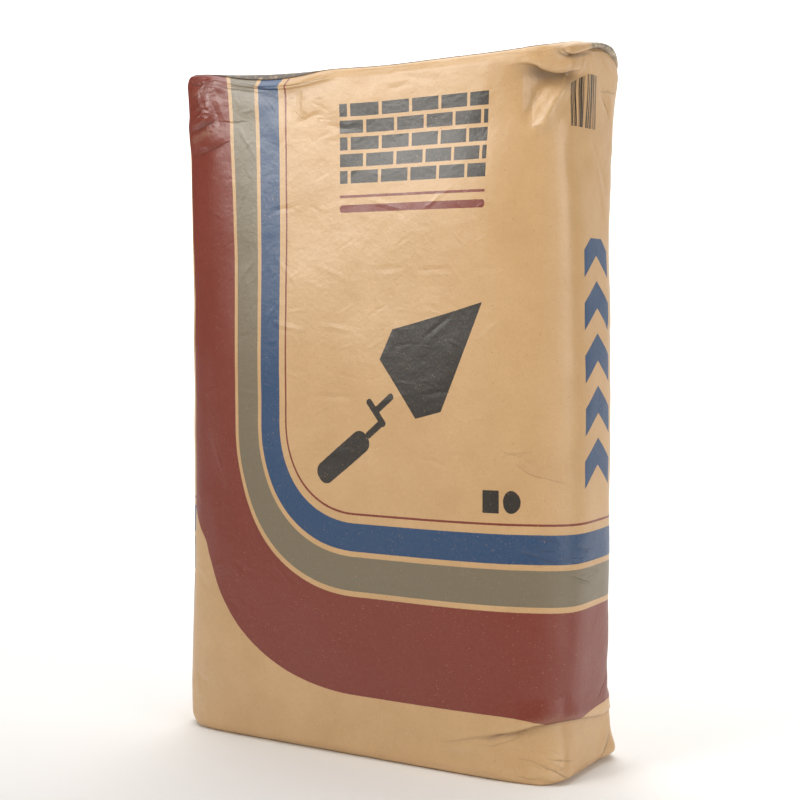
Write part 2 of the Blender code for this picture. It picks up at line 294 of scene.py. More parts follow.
ROW_PULL_POWER = 1.4
ROW_PULL_START = 300
OFF_SHEET = -9.0

# Lips across the cells: line in millimetres, outward bulge above, recess below, their reaches,
# and how far the upper part hangs down
LIPS = (
    (((203, -59, 636), (200, -60, 631), (206, -54, 627), (208, -38, 631), (210, -24, 634), (210, -12, 638)),
     0.8, 1.2, 5.0, 4.0, 1.0),
    (((211, 38, 27), (211, 32, 21), (212, 27, 16), (212, 22, 11), (210, 15, 5)), 1.2, 1.8, 6.0, 6.0, 1.0),
)
# How sharply a lip ends, how soft its step is, how far up it hangs and how far it reaches at all
LIP_TAPER = 0.6
LIP_SOFTNESS = 0.7
LIP_HANG_REACH = 4.5
LIP_FAR = 0.03

# Creases: line in millimetres, outward height (negative is a valley), half width
CREASES = (
    (((-195, -55, 633), (-186, -66, 633), (-163, -72, 628)), -1.5, 5),
    (((-196, -50, 622), (-184, -66, 622), (-170, -72, 618)), 0.9, 5),
    (((-197, -48, 607), (-186, -62, 607), (-165, -70, 610)), -1.2, 5),
    (((-200, -45, 584), (-186, -62, 587), (-153, -71, 594)), -2.6, 7),
    (((-200, -40, 577), (-184, -64, 580), (-150, -72, 585)), 1.0, 6),
    (((-200, -45, 562), (-178, -65, 564), (-137, -73, 572)), -1.7, 9),
    (((-155, -71, 593), (-139, -73, 590), (-114, -74, 589)), -0.45, 4),
    (((-50, -75, 620), (-52, -75, 606), (-47, -75, 590)), 0.5, 7),
    (((-68, -75, 617), (-66, -75, 600), (-60, -75, 588)), -0.5, 8),
    (((-55, -75, 586), (-42, -75, 590), (-27, -75, 592)), -0.5, 5),
    (((5, -75, 601), (45, -75, 619)), 0.35, 9),
    (((210, -46, 616), (204, -54, 601), (195, -59, 586), (184, -63, 562)), 7.0, 17),
    (((190, -64, 610), (180, -67, 594), (172, -69, 574)), -2.4, 12),
    (((209, 6, 607), (210, 14, 596), (209, 26, 587)), -1.1, 6),
    (((209, 26, 604), (209, 33, 594), (208, 42, 590)), 0.8, 6),
    (((209, -12, 566), (209, -5, 557), (210, 8, 540), (210, 24, 519)), -1.0, 6),
    (((207, -39, 391), (211, -27, 376)), -0.8, 5),
    (((211, 15, 401), (211, 26, 395), (208, 45, 392)), -1.2, 5),
    (((160, -68, 281), (182, -58, 272), (202, -46, 264)), -0.9, 8),
    (((172, -63, 219), (186, -56, 215), (198, -50, 210)), -0.8, 6),
    (((168, -65, 202), (186, -57, 197), (200, -48, 193)), -0.9, 6),
    (((204, -42, 184), (212, -14, 174)), -0.8, 6),
    (((90, -75, 22), (125, -74, 26), (150, -72, 24)), 0.6, 7),
    (((100, -75, 42), (128, -74, 42), (150, -72, 48)), -0.7, 8),
    (((170, -70, 15), (187, -65, 17), (194, -62, 19), (203, -55, 17)), -1.7, 6),
    (((178, -67, 11), (195, -62, 11), (203, -56, 8), (208, -39, 7)), 1.3, 6),
    (((180, -67, 26), (193, -61, 22), (206, -48, 30)), 0.8, 6),
    (((-196, -52, 54), (-184, -64, 50), (-154, -72, 40)), -0.9, 6),
    (((-198, -48, 158), (-190, -57, 150), (-170, -66, 138)), -0.9, 7),
    (((-140, -73, 137), (-125, -74, 119)), -0.4, 5),
    (((30, -75, 627), (60, -75, 618), (100, -75, 612)), -0.35, 8),
    (((-150, -72, 628), (-128, -72, 623), (-100, -75, 613), (-78, -75, 612)), -0.9, 2.5),
    (((-172, -71, 622), (-140, -73, 616), (-116, -74, 611)), -0.7, 2.5),
    (((-95, -75, 607), (-60, -75, 610), (-38, -75, 617)), -0.7, 2.5),
    (((-122, -73, 606), (-104, -75, 604), (-84, -75, 606)), 0.6, 3),
)
# Sharpness of a crease's section, wear on its ridge, and the depth from which a valley is shaded
CREASE_POWER = 1.6
RIDGE_WEAR = 0.7
VALLEY_DEPTH = 0.8
VALLEY_SHADE = 0.4

# Crumpled regions of the sheet: centre round the sack and up it, reach round it and up it, share
# of crumpling
CRUMPLES = (
    (-0.205, 0.610, 0.050, 0.050, 1.0), (0.230, 0.600, 0.055, 0.040, 0.8), (0.215, 0.030, 0.050, 0.040, 0.8),
    (-0.200, 0.030, 0.050, 0.040, 0.6), (0.350, 0.560, 0.050, 0.070, 0.45), (0.350, 0.060, 0.050, 0.070, 0.8),
    (0.780, 0.600, 0.060, 0.050, 0.8), (0.600, 0.600, 0.080, 0.025, 0.6), (-0.060, 0.610, 0.100, 0.030, 0.35),
    (0.200, 0.230, 0.035, 0.060, 0.35),
)
# Sharp creases of the sheet, in layers in which no two run close together. Each layer has the
# half width of its creases in millimetres, and each crease its course in millimetres round the
# sheet and up it, its outward height (negative is a valley) and the shade inside it.
SHARP_LAYERS = (
    (1.5, (
        (((226, 629), (221.5, 627.5), (225.6, 623.2), (236.6, 623.3), (255.8, 613.3)), -0.3, 0.95),
        (((-183, 622), (-167, 626), (-142, 627), (-118, 622.6), (-105, 618), (-91, 616.7), (-70, 619.4),
          (-52, 618.8), (-40, 620.7), (-29, 621.8), (-15, 626.4)), -0.25, 0.60),
        (((-216, 580), (-197, 582.8), (-170, 588.6)), -0.5, 0.65),
        (((-214, 559), (-185, 562), (-150, 568.6)), -0.5, 0.50),
        (((-214, 629), (-206, 622), (-192, 620), (-178, 624)), -0.2, 0.70),
        (((319, 17.8), (311, 12.2), (303, 4)), -0.4, 0.60),
        (((210, 19), (216.8, 12.8), (222, 9.5), (236, 3.5)), -0.5, 0.40),
        (((146, 30), (164, 30.8), (183, 36), (200, 42.3)), -0.3, 0.15),
        (((294, 588), (305, 584.3), (311, 578)), -0.4, 0.35),
        # Painted shade alone: a dark line just under the lower fold, with no height
        (((160, 40.0), (168, 41.0), (186, 43.4), (201, 47.9), (208, 50.1), (215, 52.7), (226, 54.9),
          (236, 54.9), (248, 53.9), (262, 52.0), (278, 49.5), (306, 45.4), (320, 44)), 0.0, 0.80),
    )),
    (1.5, (
        (((-186, 622), (-165, 619), (-153, 618.2), (-126, 615.1), (-100, 610)), -0.25, 0.30),
        (((-60, 632), (-32, 625.8), (-10, 629)), -0.2, 0.35),
        (((-175, 587.5), (-155, 585.4), (-123, 585.3)), -0.25, 0.30),
        (((-216, 609), (-192, 612.4), (-170, 613.6)), -0.15, 0.35),
        (((-212, 600), (-203, 595), (-193, 600), (-181, 596)), -0.15, 0.30),
        (((-213, 571), (-203, 570), (-194, 575)), -0.15, 0.20),
        (((190, 22.5), (207, 19.8), (217, 15)), -0.3, 0.20),
        (((214, 23), (226, 20.5), (242, 20)), -0.4, 0.30),
        (((186, 7), (200, 5), (214, 3)), -0.3, 0.30),
        (((289, 62), (303, 68), (325, 83)), -0.4, 0.30),
        (((284, 591), (308, 591.2), (335, 594)), -0.4, 0.25),
    )),
    (4.0, (
        (((-215, 585), (-196, 588), (-176, 594)), 0.7, 0.0),
        (((-213, 564), (-185, 567), (-158, 573.5)), 0.5, 0.0),
        (((-216, 597), (-199, 601), (-178, 600)), 0.6, 0.0),
        (((260, 611), (250, 607), (237, 599)), 0.6, 0.0),
        (((287, 611), (301, 606.4), (322, 602)), 0.5, 0.0),
        (((222, 2), (210, 11), (190, 12)), 0.25, 0.0),
        (((241, 5), (228, 14), (214, 21)), 0.4, 0.0),
        (((-51.6, 617), (-52, 589)), 0.5, 0.0),
        (((-60, 583), (-44, 588), (-28, 591)), -0.6, 0.0),
        (((-28, 580.5), (-4.5, 575.5), (13, 576)), -0.3, 0.0),
        (((40, 608), (68, 611)), -0.3, 0.0),
        (((196, 279), (215, 268), (233, 262)), -0.5, 0.25),
        (((208, 217), (217, 214.5), (228, 210)), -0.5, 0.35),
        (((200, 203), (212, 199), (226, 192)), -0.7, 0.45),
        (((237, 181), (252, 178.5), (270, 172.5)), -0.6, 0.50),
        (((222, 187), (236, 190), (252, 188)), 0.5, 0.0),
        (((244, 207), (256, 204), (270, 203)), -0.4, 0.25),
        (((258, 186), (274, 184), (290, 179)), -0.4, 0.25),
        (((176, 291), (192, 287), (214, 290)), -0.4, 0.20),
        (((178, 283), (190, 280), (200, 282)), 0.4, 0.0),
    )),
    (8.0, (
        (((241, 605), (238, 599), (225, 593.7), (218.7, 583), (213, 562)), 1.5, 0.0),
        (((-206, 617), (-196, 600), (-189, 580)), 1.0, 0.0),
        (((284, 558), (292, 530), (306, 502)), 0.6, 0.0),
    )),
    (8.0, (
        (((203, 612), (201.4, 592), (207, 566)), -1.4, 0.0),
        (((-181, 614), (-172, 598), (-165, 582)), -0.8, 0.0),
        (((238, 47), (243, 30), (238, 10)), -0.6, 0.0),
    )),
)
# Short straight crinkles, one in each square of the sheet: side of the square, length, half width
# and height in millimetres, share outside the crumpled regions, shade and seed
CRINKLES = (
    (58, 42, 4.0, 0.30, 0.9, 0.0, 11), (31, 22, 2.5, 0.16, 0.8, 0.0, 12), (17, 12, 2.0, 0.28, 0.0, 0.2, 13),
)
CRINKLE_TURN = 0.55
CRINKLE_LIFTS = (0.3, 1.0)
CRINKLE_SHIFT = 0.08
CRUMPLED_SHARE = 0.15
# Margin past the half width of a crinkle, in millimetres, and of a sharp crease, in metres
CRINKLE_MARGIN = 4.0
SHARP_MARGIN = 0.005
# Flat facets of crushed paper: spacing, height, share outside the crumpled regions and seed
FACETS = ((0.070, 0.0024, 0.35, 3), (0.032, 0.0024, 0.10, 5), (0.015, 0.0007, 0.03, 8))
FACET_ROW = 0.8
FACET_JITTER = 0.42
# Facets fade out at both ends of the tube and at its back corner
END_FADE = 0.004
SEAM_FADE = 0.020
# Soft waves of the whole sack: size and height
WAVES = ((0.16, 0.0018), (0.07, 0.0008))
WAVE_AT_MOUTH = 0.4
WAVE_FOOT = 0.06
# The area over which crinkles and facets are scattered, a little more than the sheet itself
SHEET_U = (-0.45, 0.90)
SHEET_V = (-0.10, 0.75)


def ease(value, start, end):
    """Smooth step from 0 at start to 1 at end."""
    part = np.clip((value - start) / (end - start), 0.0, 1.0)
    return part * part * (3.0 - 2.0 * part)


def bell(distance, reach):
    """Smooth bump, 1 at no distance and near 0 past two reaches."""
    return np.exp(-(distance / reach) ** 2)


def taper(share, power=0.7):
    """1 in the middle of a line and 0 at both its ends."""
    return np.clip(4.0 * share * (1.0 - share), 0.0, 1.0) ** power


def read_vectors(items, name):
    """The vectors of a mesh's items as an array."""
    values = np.empty(len(items) * 3, dtype=np.float32)
    items.foreach_get(name, values)
    return values.reshape(-1, 3).astype(float)


def by_depth(y, values):
    """A value of the mouth's table at each depth y, smoothed, in metres."""
    dense = np.linspace(MOUTH_Y[0], MOUTH_Y[-1], 281)
    line = np.interp(dense, MOUTH_Y, values)
    line = np.convolve(np.pad(line, 8, mode="edge"), np.ones(17) / 17, mode="valid")
    return np.interp(y * 1000, dense, line) / 1000


def round_sheet(box, unit):
    """Distance round the sheet from the middle of the front, towards the right side."""
    back_at = 2 * (HALF_WIDTH + HALF_DEPTH)
    around = np.where(unit[:, 1] < -ON_FACE, box[:, 0], back_at - box[:, 0])
    around = np.where(unit[:, 0] > ON_FACE, HALF_WIDTH + HALF_DEPTH + box[:, 1], around)
    return np.where(unit[:, 0] < -ON_FACE, -HALF_WIDTH - HALF_DEPTH - box[:, 1], around)


def smooth_course(around, course, column):
    """One column of a fold's course at each distance round the sheet, with its turns eased."""
    places = [point[0] for point in course]
    dense = np.arange(places[0], places[-1] + 1.0)
    line = np.interp(dense, places, [point[column] for point in course])
    line = np.convolve(np.pad(line, 5, mode="edge"), np.ones(11) / 11, mode="valid")
    return np.interp(around * 1000, dense, line)


def draw_rows(box, around, level, below, above, course):
    """Draw a row of cells, and the rows near it, to the course of a fold."""
    shift = smooth_course(around, course, 1) / 1000 - level
    pull = min(ROW_PULL, above)
    off = (box[:, 2] - level) / pull
    drawn = level + pull * np.sign(off) * np.abs(off) ** ROW_PULL_POWER
    amount = (np.abs(off) < 1.0) * np.minimum(1.0, np.abs(shift) * ROW_PULL_START)
    height = box[:, 2] + amount * (drawn - box[:, 2])
    share = np.interp(height, (level - below, level, level + above), (0.0, 1.0, 0.0))
    box[:, 2] = height + shift * share


def roll_edges(box):
    """Round the box's edges with one ellipsoid roll."""
    centre = np.array((0.0, 0.0, HEIGHT / 2))
    halves = np.array((HALF_WIDTH, HALF_DEPTH, HEIGHT / 2))
    core = np.clip(box - centre, ROLLS - halves, halves - ROLLS)
    steps = (box - centre - core) / ROLLS
    steps /= np.linalg.norm(steps, axis=1, keepdims=True)
    return centre + core + steps * ROLLS


def filled_form(box):
    """Carry points of the plain box to the filled sack's main form."""
    x, y, z = roll_edges(box).T
    level = np.clip(z / HEIGHT, 0.0, 1.0)
    middle = (4.0 * level * (1.0 - level)) ** MIDDLE_FULLNESS
    belly = bell(level - BELLY_LEVEL, BELLY_SPREAD)
    cut = CORNER_CUT_END + (CORNER_CUT_MIDDLE - CORNER_CUT_END) * middle
    power = 1.0 / cut - 2.0
    a = np.abs(x) / HALF_WIDTH
    b = np.abs(y) / HALF_DEPTH
    x = x * (1.0 - cut * a * b ** power)
    y = y * (1.0 - cut * b * a ** power)
    x = x * (1.0 + (BELLY_WIDTH * belly - SIDE_TUCK * middle * b ** 4) / HALF_WIDTH)
    y = y * (1.0 + BELLY_DEPTH * belly * (1.0 - a ** 4) / HALF_DEPTH)
    left_part = np.clip(RIM_LOW_POINT - x, 0.0, None) / RIM_REACH
    right_part = np.clip(x - RIM_LOW_POINT, 0.0, None) / RIM_REACH
    rise = RIM_LEFT_RISE * left_part ** RIM_LEFT_CURVE + RIM_RIGHT_RISE * right_part ** RIM_RIGHT_CURVE
    upper = ease(box[:, 2], HEIGHT - RIM_FADE, HEIGHT)
    top_part = ease(box[:, 2], HEIGHT - CROWN_FADE, HEIGHT)
    crown = CROWN * (1.0 - a * a) * (1.0 - b * b) * top_part
    arch = by_depth(y, MOUTH_LIFT) * ease(x, ARCH_START, ARCH_FULL) * top_part
    return np.stack((x, y, z + rise * upper + crown + arch + PATCH_SPACE), axis=1)


def crush_rim(points):
    """Flatten the upper front edge along its slanting crushed part."""
    x, y, z = points.T
    fade = CRUSH_DEPTH * ((x - CRUSH_CENTRE) / CRUSH_REACH) ** 2
    over = (y - CRUSH_POINT[0]) * CRUSH_SLOPE[0] + (z - CRUSH_POINT[1]) * CRUSH_SLOPE[1] - fade
    over = CRUSH_SOFTNESS * np.logaddexp(0.0, over / CRUSH_SOFTNESS)
    over *= ease(z, *CRUSH_LEVELS) * (1.0 - ease(y, *CRUSH_DEPTHS))
    return np.stack((x, y - over * CRUSH_SLOPE[0], z - over * CRUSH_SLOPE[1]), axis=1)


def shape_mouth(points, right_side, rows_down):
    """Form the upper lip, the slot and the lower lip of the valve on the right side."""
    side = right_side & (rows_down <= MOUTH_LAST_ROW)
    y = points[side, 1]
    row = rows_down[side]
    share = ease(y, MOUTH_FRONT, MOUTH_FRONT + MOUTH_BLEND)
    share *= 1.0 - ease(y, MOUTH_BACK - MOUTH_BLEND, MOUTH_BACK)
    roof = by_depth(y, MOUTH_ROOF)
    opening = by_depth(y, MOUTH_OPENING)
    reach = by_depth(y, LIP_REACH)
    height = by_depth(y, MOUTH_LIFT) + MOUTH_EDGE - roof
    table = np.array(MOUTH_ROWS)
    last = len(table) - 1
    shares = table[np.minimum(row, last)]
    wall = HALF_WIDTH * (1.0 - MOUTH_BOW * (np.abs(y) / HALF_DEPTH) ** 4) - MOUTH_WALL
    x_new = wall + shares[:, 0] * reach + shares[:, 1] / 1000
    z_new = roof + shares[:, 2] * height + shares[:, 3] * opening
    # The rows under the table's last one follow it less and less, down to the mouth's last row
    x_old, z_old = points[side, 0], points[side, 2]
    low = row > last
    lowest = row == last
    order = np.argsort(y[lowest])
    z_at_last = np.interp(y[low], y[lowest][order], z_old[lowest][order])
    z_last = (roof + table[last, 2] * height + table[last, 3] * opening)[low]
    x_last = wall[low] + table[last, 1] / 1000
    follow = 1.0 - ease(row[low].astype(float), last, MOUTH_LAST_ROW)
    z_new[low] = z_old[low] + (z_last - z_at_last) * follow
    x_new[low] = x_old[low] + (x_last - x_old[low]) * follow
    points[side, 0] += (x_new - x_old) * share
    points[side, 2] += (z_new - z_old) * share


def along_line(points, line):
    """Offset of each point from the smoothed line, the offset's length, how far along the line it
    is, as a share, and the line's heading there."""
    line = np.array(line, dtype=float) / 1000
    for _ in range(2):
        inner = np.stack((0.75 * line[:-1] + 0.25 * line[1:], 0.25 * line[:-1] + 0.75 * line[1:]), axis=1)
        line = np.concatenate((line[:1], inner.reshape(-1, 3), line[-1:]))
    steps = np.diff(line, axis=0)
    lengths = np.linalg.norm(steps, axis=1)
    before = np.concatenate(((0.0,), np.cumsum(lengths)))
    nearest = np.full(len(points), np.inf)
    offset = np.zeros((len(points), 3))
    share = np.zeros(len(points))
    heading = np.zeros((len(points), 3))
    for start, step, length, reached in zip(line, steps, lengths, before):
        part = np.clip((points - start) @ step / length ** 2, 0.0, 1.0)
        away = points - start - part[:, None] * step
        distance = np.linalg.norm(away, axis=1)
        near = distance < nearest
        nearest[near] = distance[near]
        offset[near] = away[near]
        share[near] = (reached + part[near] * length) / before[-1]
        heading[near] = step / length
    return offset, nearest, share, heading


def scattered_crinkles(u, v, square, length, half_width, height, seed):
    """Signed distance from the crinkle of each point's square, and its height, in metres."""
    maker = np.random.default_rng(seed)
    square = square / 1000
    column = np.floor((u - SHEET_U[0]) / square).astype(int)
    row = np.floor((v - SHEET_V[0]) / square).astype(int)
    shape = (column.max() + 1, row.max() + 1)
    angle = maker.normal(0.0, CRINKLE_TURN, shape)[column, row]
    lift = maker.choice((-1.0, 1.0), shape) * maker.uniform(*CRINKLE_LIFTS, shape)
    lift = lift[column, row] * height / 1000
    shift = maker.uniform(-CRINKLE_SHIFT, CRINKLE_SHIFT, (2, *shape))[:, column, row]
    across = u - SHEET_U[0] - (column + 0.5 + shift[0]) * square
    upward = v - SHEET_V[0] - (row + 0.5 + shift[1]) * square
    along = across * np.cos(angle) + upward * np.sin(angle)
    off = upward * np.cos(angle) - across * np.sin(angle)
    fade = np.clip(1.0 - (2000 * along / length) ** 2, 0.0, 1.0) ** 0.7
    return off, lift * fade * (np.abs(off) < (half_width + CRINKLE_MARGIN) / 1000)


def facets(u, v, spacing, height, seed):
    """Height of a random folded surface of flat facets over the sheet."""
    maker = np.random.default_rng(seed)
    grid_u, grid_v = np.meshgrid(np.arange(*SHEET_U, spacing), np.arange(*SHEET_V, spacing * FACET_ROW))
    spots = np.stack((grid_u.ravel(), grid_v.ravel()), axis=1)
    spots += maker.uniform(-FACET_JITTER, FACET_JITTER, spots.shape) * spacing
    heights = maker.uniform(-height, height, len(spots))
    made = delaunay_2d_cdt([Vector(spot) for spot in spots], [], [], 0, 1e-7)
    corners = [(flat.x, flat.y, heights[source[0]]) for flat, source in zip(made[0], made[3])]
    surface = BVHTree.FromPolygons(corners, made[2])
    down = Vector((0.0, 0.0, -1.0))
    return np.array([surface.ray_cast(Vector((a, b, 1.0)), down)[0].z for a, b in zip(u, v)])


def cell_cube():
    """A cube two units wide, cut into the sack's cells."""
    bm = bmesh.new()
    bmesh.ops.create_cube(bm, size=2.0)
    for axis, cells in enumerate(CELLS):
        along = [edge for edge in bm.edges if abs(edge.verts[0].co[axis] - edge.verts[1].co[axis]) > 1.0]
        bmesh.ops.subdivide_edges(bm, edges=along, cuts=cells - 1, use_grid_fill=True)
    return bm


# The plain box of cells, its rows drawn to the folds, then the filled sack's main form
sack_mesh = new_mesh("paper_sack", cell_cube())
count = len(sack_mesh.vertices)
unit = read_vectors(sack_mesh.vertices, "co")
spaced = CELL_SPREAD * unit + (1.0 - CELL_SPREAD) * unit ** 3
box = spaced * (HALF_WIDTH, HALF_DEPTH, HEIGHT / 2) + (0.0, 0.0, HEIGHT / 2)
right_side = unit[:, 0] > ON_FACE
walls = (np.abs(unit[:, 0]) > ON_FACE) | (np.abs(unit[:, 1]) > ON_FACE)
u = round_sheet(box, unit)
wall_u = np.where(walls, u, OFF_SHEET)
rows_up = np.rint((1.0 + unit[:, 2]) * CELLS[2] / 2).astype(int)
rows_down = CELLS[2] - rows_up
row_units = np.linspace(-1.0, 1.0, CELLS[2] + 1)
row_heights = HEIGHT / 2 * (1.0 + CELL_SPREAD * row_units + (1.0 - CELL_SPREAD) * row_units ** 3)
fold_rows = [int(np.argmin(np.abs(row_heights - fold[0]))) for fold in FOLDS]
for fold_row, (_, below, above, course, _, _) in zip(fold_rows, FOLDS):
    draw_rows(box, wall_u, row_heights[fold_row], below, above, course)
v = box[:, 2]
place = filled_form(box)
for centre, reach, push in DENTS:
    spread = (place - centre) / reach
    place += np.exp(-np.sum(spread * spread, axis=1))[:, None] * np.array(push)
place = crush_rim(place)
shape_mouth(place, right_side, rows_down)
sack_mesh.vertices.foreach_set("co", place.astype(np.float32).ravel())
sack_mesh.update()
normals = read_vectors(sack_mesh.vertex_normals, "vector")

# The folds, lips and creases, and what the material reads of them
move = np.zeros_like(place)
rubbed = np.zeros(count)
hollow = np.zeros(count)
folded = np.zeros(count)
up = np.array((0.0, 0.0, 1.0))
for fold_row, (_, _, _, course, section, fold_shade) in zip(fold_rows, FOLDS):
    steps, outs, rises = zip(*reversed(section))
    off = (rows_up - fold_row).astype(float)
    strength = smooth_course(u, course, 2) * walls
    out = np.interp(off, steps, outs)
    rise = np.interp(off, steps, rises)
    level_normal = normals * (1.0, 1.0, 0.0)
    level_normal /= np.maximum(np.linalg.norm(level_normal, axis=1, keepdims=True), 0.05)
    move += (strength * out / 1000)[:, None] * level_normal + (strength * rise / 1000)[:, None] * up
    rubbed += strength * bell(off - 1.5, 1.5) * 0.5
    # Painted shade in the rows just under the fold
    hollow += strength * bell(off + fold_shade[0], fold_shade[1]) * fold_shade[2]
    folded = np.maximum(folded, strength * bell(off, 9.0))
for line, bulge, recess, reach_up, reach_down, hang in LIPS:
    offset, distance, share, heading = along_line(place, line)
    upward = np.cross(normals, heading)
    upward *= np.sign(upward[:, 2:3] + 1e-9)
    rise = np.sum(offset * upward, axis=1) * 1000
    strength = taper(share, LIP_TAPER) * (distance < LIP_FAR)
    above = 1.0 / (1.0 + np.exp(-np.clip(rise / LIP_SOFTNESS, -60.0, 60.0)))
    out = above * bulge * bell(rise - 1.5, reach_up)
    out -= (1.0 - above) * recess * np.exp(-np.abs(rise) / reach_down)
    drop = -above * hang * bell(rise - 0.5, LIP_HANG_REACH)
    move += strength[:, None] * (out[:, None] * normals + drop[:, None] * upward) / 1000
    rubbed += strength * above * bell(rise - 1.0, 2.5) * 0.5
    # Painted shade just under the lip
    hollow += strength * (1.0 - above) * bell(rise + 1.0, 1.5)
    folded = np.maximum(folded, strength * bell(distance, 0.010))
for line, height, width in CREASES:
    _, distance, share, _ = along_line(place, line)
    strength = taper(share)
    tent = np.clip(1.0 - distance * 1000 / width, 0.0, 1.0) ** CREASE_POWER
    move += (strength * tent * height / 1000)[:, None] * normals
    if height > 0.0:
        rubbed += strength * tent * min(1.0, height) * RIDGE_WEAR
    else:
        # Painted shade along the floor of a deep valley
        hollow += strength * tent ** 3 * max(0.0, -height - VALLEY_DEPTH) * VALLEY_SHADE

# Sharp creases and crinkles are kept as signed distance, height and shade for the material
on_sheet = np.stack((wall_u, v, np.zeros(count)), axis=1)
sharp = []
for half_width, lines in SHARP_LAYERS:
    nearest = np.full(count, np.inf)
    layer = np.zeros((count, 3))
    for line, height, shade in lines:
        offset, distance, share, heading = along_line(on_sheet, [(*point, 0.0) for point in line])
        sign = np.sign(offset[:, 0] * heading[:, 1] - offset[:, 1] * heading[:, 0])
        fade = taper(share) * (distance < half_width / 1000 + SHARP_MARGIN)
        near = distance < nearest
        nearest[near] = distance[near]
        layer[near] = np.stack((sign * distance, fade * height / 1000, fade * shade), axis=1)[near]
    sharp.append(layer)
ends = 1.0 - np.maximum(ease(v, HEIGHT - END_FADE, HEIGHT), 1.0 - ease(v, 0.0, END_FADE))
seam = np.minimum(np.abs(u + HALF_WIDTH + 2 * HALF_DEPTH), np.abs(u - 3 * HALF_WIDTH - 2 * HALF_DEPTH))
ends *= walls * ease(seam, 0.0, SEAM_FADE)
crumple = np.zeros(count)
for centre_u, centre_v, reach_u, reach_v, share in CRUMPLES:
    crumple = np.maximum(crumple, share * bell(u - centre_u, reach_u) * bell(v - centre_v, reach_v))
at_mouth = (np.abs(place[:, 1]) < MOUTH_CLEARING[0]) & (v > HEIGHT - MOUTH_CLEARING[1])
mouth_clear = 1.0 - (right_side & at_mouth)
for square, length, half_width, height, everywhere, shade, seed in CRINKLES:
    off, lift = scattered_crinkles(u, v, square, length, half_width, height, seed)
    share = np.maximum(everywhere, crumple) * mouth_clear * walls
    share *= np.where(crumple > CRUMPLED_SHARE, 1.0, everywhere > 0.0)
    # The valleys of the finest crinkles carry a little painted shade
    dark = np.clip(-lift, 0.0, None) * 1000 / height
    sharp.append(np.stack((off, lift * share, dark * share * shade), axis=1))
for spacing, height, everywhere, seed in FACETS:
    relief = facets(u, v, spacing, height, seed)
    move += (relief * ends * np.maximum(everywhere, crumple) * mouth_clear)[:, None] * normals
for size, height in WAVES:
    relief = np.array([noise.noise(Vector(point) / size) for point in place])
    relief *= height * np.maximum(mouth_clear, WAVE_AT_MOUTH) * ease(place[:, 2], 0.0, WAVE_FOOT)
    move += relief[:, None] * normals
place += move
place[:, 2] = np.maximum(place[:, 2], PATCH_SPACE)
sack_mesh.vertices.foreach_set("co", place.astype(np.float32).ravel())
sack_mesh.update()

# The sheet laid flat, in metres round it and up it. A face looks left 0, right 1, front 2, back 3,
# down 4 or up 5.
sheet_map = sack_mesh.uv_layers.new(name="sheet")
loop_verts = np.empty(len(sack_mesh.loops), dtype=np.int32)
sack_mesh.loops.foreach_get("vertex_index", loop_verts)
face_middle = unit[loop_verts.reshape(-1, 4)].mean(axis=1)
axis = np.argmax(np.abs(face_middle), axis=1)
facing = np.repeat(axis * 2 + (face_middle[np.arange(len(axis)), axis] > 0), 4)
x, y, z = box[loop_verts].T
turned = HALF_DEPTH + y
flat_u = np.select(
    [facing == 0, facing == 1, facing == 3],
    [-HALF_WIDTH - turned, HALF_WIDTH + turned, 2 * HALF_WIDTH + 2 * HALF_DEPTH - x], x)
flat_v = np.select([facing == 4, facing == 5], [-turned, HEIGHT + turned], z)
sheet_map.data.foreach_set("uv", np.stack((flat_u, flat_v), axis=1).astype(np.float32).ravel())
# The upper lip of the valve, where it stands out from the side, painted a mottled grey-brown
x, y, z = place.T
roof = by_depth(y, MOUTH_ROOF)
lip = by_depth(y, LIP_REACH) * 1000 / LIP_GREY_REACH
lip *= ease(x, *LIP_GREY_X) * ease(y, *LIP_GREY_Y) * ease(z, roof - LIP_GREY_EDGE, roof)
for name, values in (("rubbed", rubbed), ("hollow", hollow), ("crumple", crumple), ("lip", lip)):
    data = sack_mesh.attributes.new(name, "FLOAT", "POINT")
    data.data.foreach_set("value", np.clip(values, 0.0, 1.0).astype(np.float32))
for number, layer in enumerate(sharp):
    data = sack_mesh.attributes.new(f"sharp_{number}", "FLOAT_VECTOR", "POINT")
    data.data.foreach_set("vector", layer.astype(np.float32).ravel())

# The flat pocket behind the slot, pushed in step by step under the upper end
bm = bmesh.new()
bm.from_mesh(sack_mesh)
bm.verts.ensure_lookup_table()
skin = BVHTree.FromBMesh(bm)
in_slot = right_side & (np.abs(place[:, 1]) < POCKET_HALF_WIDTH)
is_roof = bm.verts.layers.int.new("roof")
for index in np.flatnonzero(in_slot & (rows_down == ROOF_ROW)):
    bm.verts[index][is_roof] = 1
slot = set(np.flatnonzero(in_slot & ((rows_down == ROOF_ROW) | (rows_down == ROOF_ROW + 1))).tolist())
pocket = [face for face in bm.faces if all(vert.index in slot for vert in face.verts)]
mouth_x = {vert: vert.co.x for face in pocket for vert in face.verts}
mouth_at = sum(mouth_x.values()) / len(mouth_x)
for depth in POCKET_STEPS:
    made = bmesh.ops.extrude_face_region(bm, geom=pocket)["geom"]
    pocket = [item for item in made if isinstance(item, bmesh.types.BMFace)]
    for vert in (item for item in made if isinstance(item, bmesh.types.BMVert)):
        open_share = max(1.0 - (vert.co.y / POCKET_HALF_WIDTH) ** 4, POCKET_LEAST_OPEN)
        above = skin.ray_cast(Vector((mouth_at - depth, vert.co.y, 1.0)), Vector((0.0, 0.0, -1.0)))[0].z
        space = POCKET_ROOF if vert[is_roof] else POCKET_ROOF + POCKET_OPENING * open_share
        vert.co = (mouth_at - depth, vert.co.y, above - space)
bmesh.ops.recalc_face_normals(bm, faces=bm.faces)
bm.to_mesh(sack_mesh)
bm.free()
sack_mesh.shade_smooth()

sack = new_object("filled_paper_sack", sack_mesh)
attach(sack, "root")
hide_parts("paper_sack")

